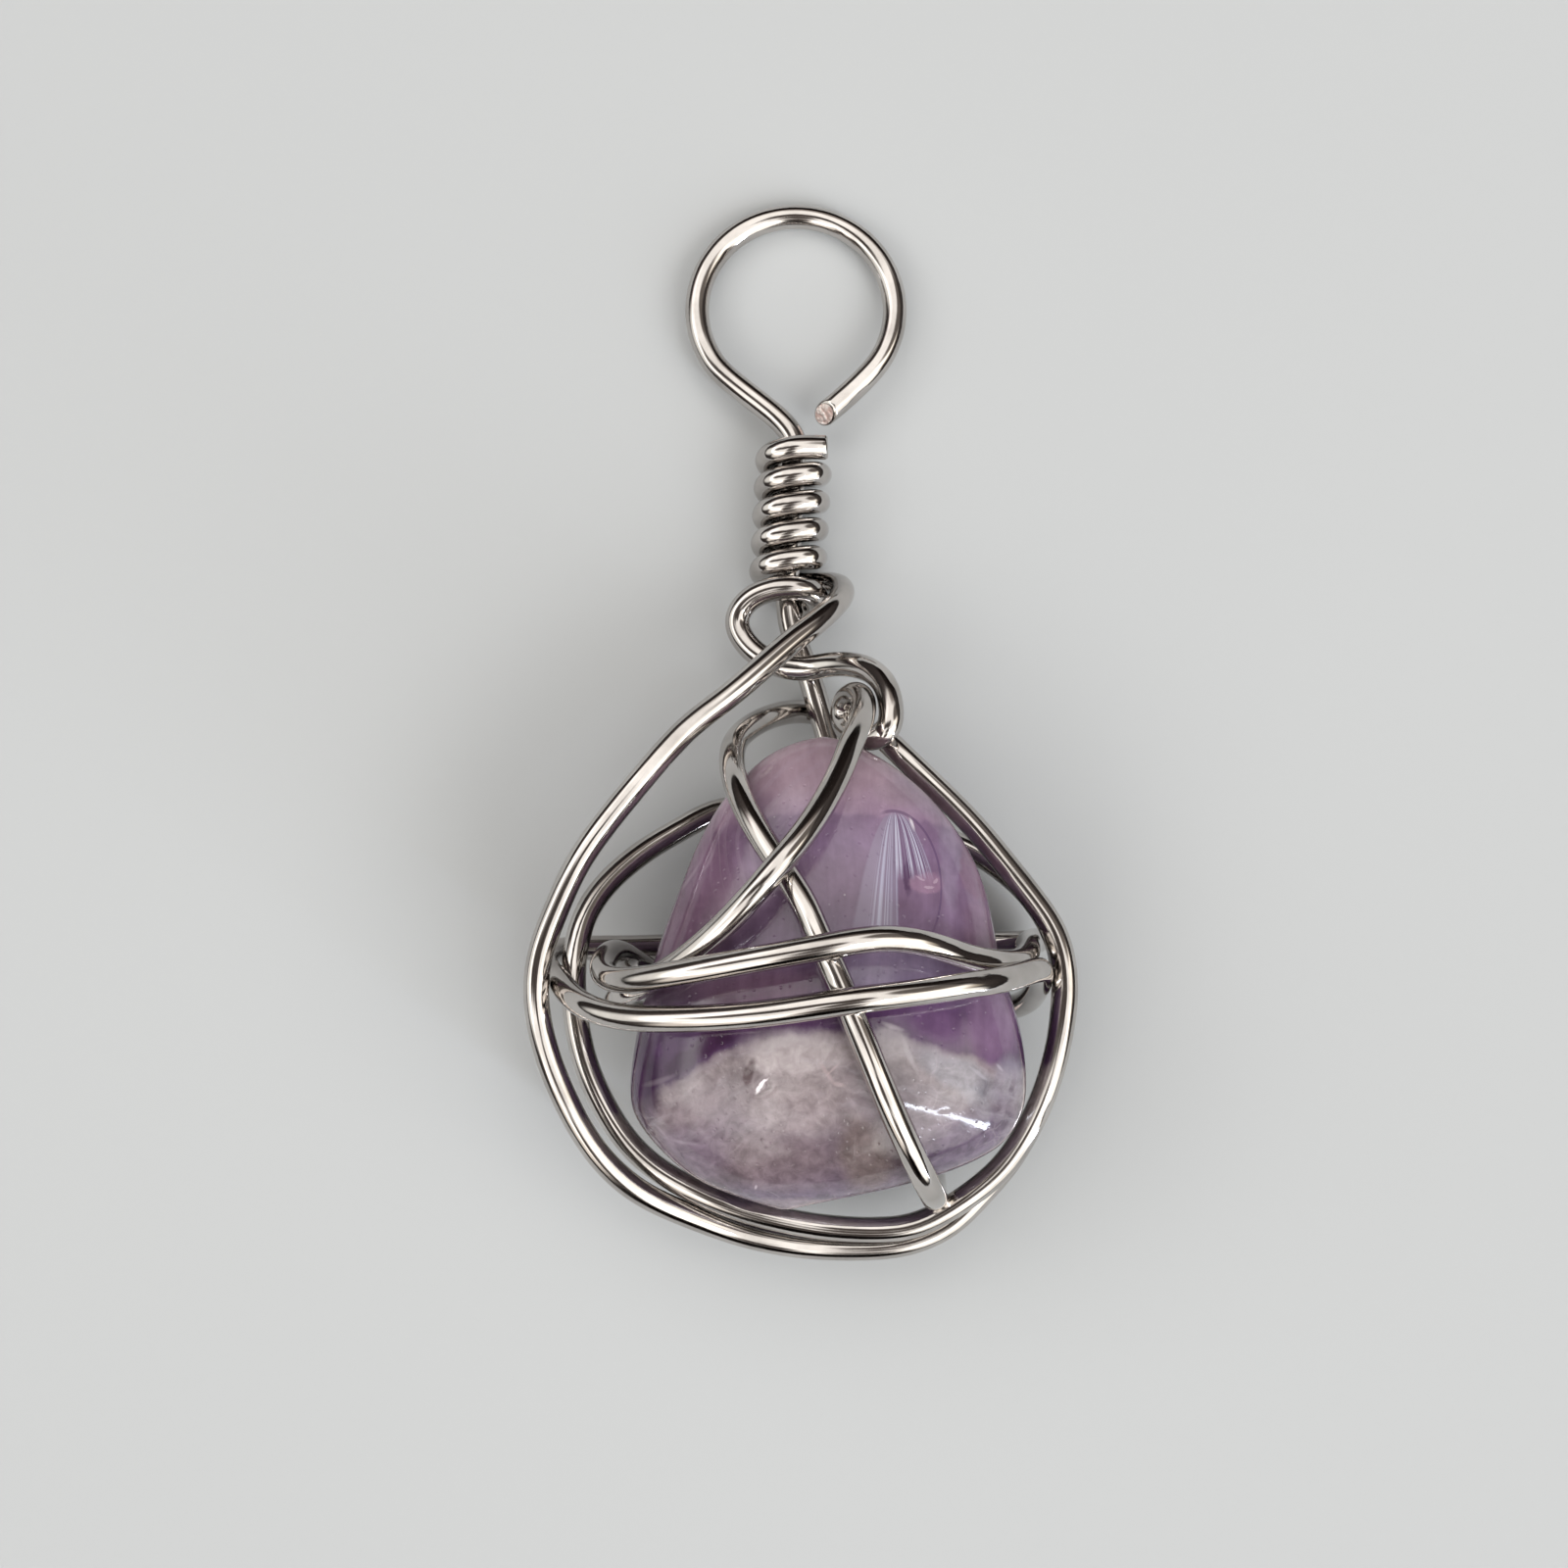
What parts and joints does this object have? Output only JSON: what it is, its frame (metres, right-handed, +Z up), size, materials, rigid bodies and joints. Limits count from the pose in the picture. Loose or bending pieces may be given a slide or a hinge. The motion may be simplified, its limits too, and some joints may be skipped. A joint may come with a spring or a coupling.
{
  "type": "stone pendant",
  "caption": "Tumbled amethyst caged in round silver-coloured wire, with a wire-wound neck and a round eye loop for a cord or chain.",
  "frame": {"origin": "middle of the outline, on the surface that the pendant lies on", "axes": "+X to the right, +Y along the pendant from the stone towards the eye loop, +Z up, out of the front of the stone"},
  "size_m": [0.0216, 0.0438, 0.0126],
  "materials": {
    "amethyst": "tumbled and polished, banded lilac, violet and milky white",
    "wire": "bright drawn stainless wire, hand bent"
  },
  "bodies": {
    "root": {"stone": "amethyst", "hanger_wire": "wire", "frame_wire": "wire", "cage_wire": "wire"}
  },
  "joints": []
}
